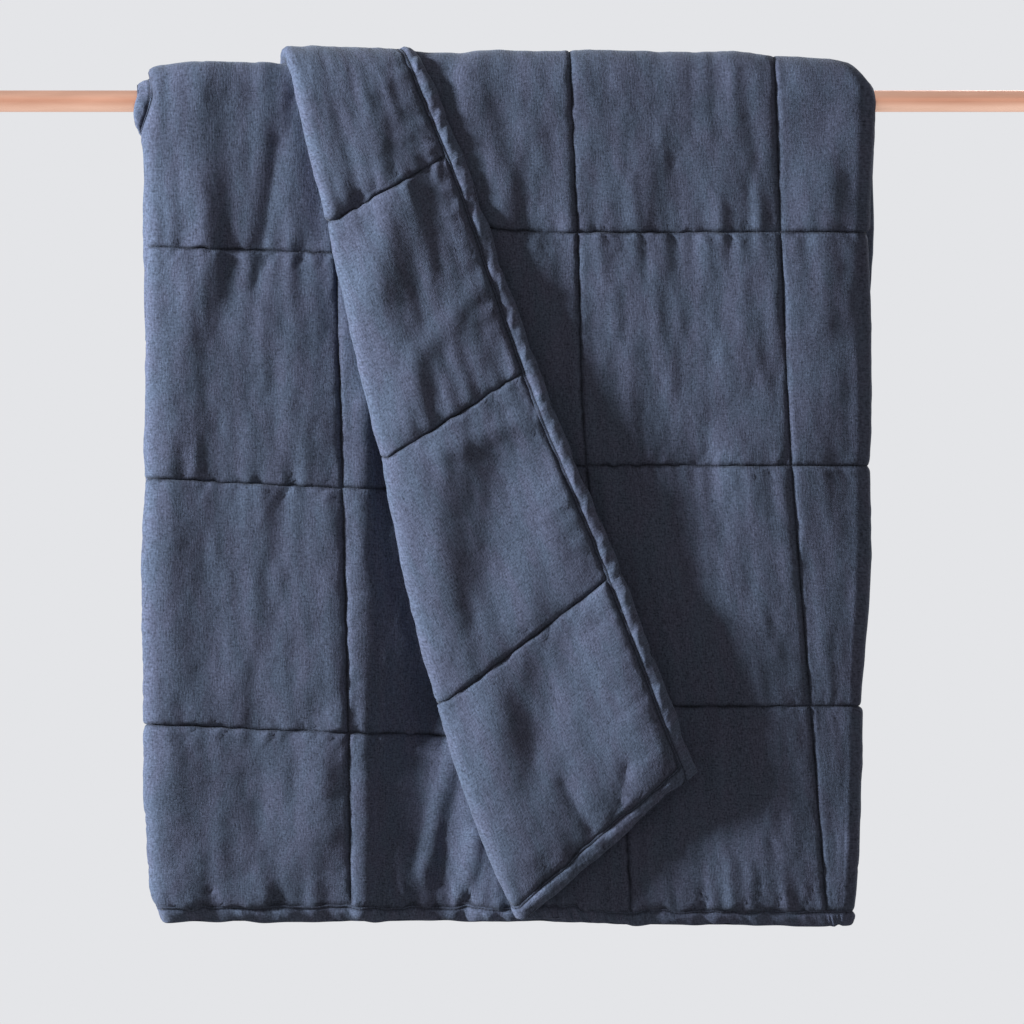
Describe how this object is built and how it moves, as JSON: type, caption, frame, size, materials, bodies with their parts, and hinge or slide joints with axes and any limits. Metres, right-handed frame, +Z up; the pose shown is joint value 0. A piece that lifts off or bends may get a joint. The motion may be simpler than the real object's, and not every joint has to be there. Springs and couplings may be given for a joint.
{
  "type": "linen throw blanket on a copper rod",
  "caption": "Quilted linen throw, folded in half lengthwise and hung over a round copper rod, with its bound edge turned back in a slanting flap.",
  "frame": {"origin": "centre of the rod's left end face, where a wall socket would hold it", "axes": "+X along the rod to the right end, -Y towards the front with the flap, +Z up"},
  "size_m": [1.15, 0.1236, 0.9003],
  "materials": {
    "quilted_linen": "washed slate-blue linen with a vertical slub grain, matt",
    "binding_linen": "the same linen cut as a folded binding, slightly lighter at its worn edge",
    "copper": "drawn copper tube, satin, with fine lengthwise lines"
  },
  "bodies": {
    "root": {"quilt": "quilted_linen", "side_binding_under": "binding_linen", "side_binding_flap": "binding_linen", "hem_binding_front": "binding_linen", "hem_binding_back": "binding_linen", "rod": "copper"}
  },
  "joints": []
}
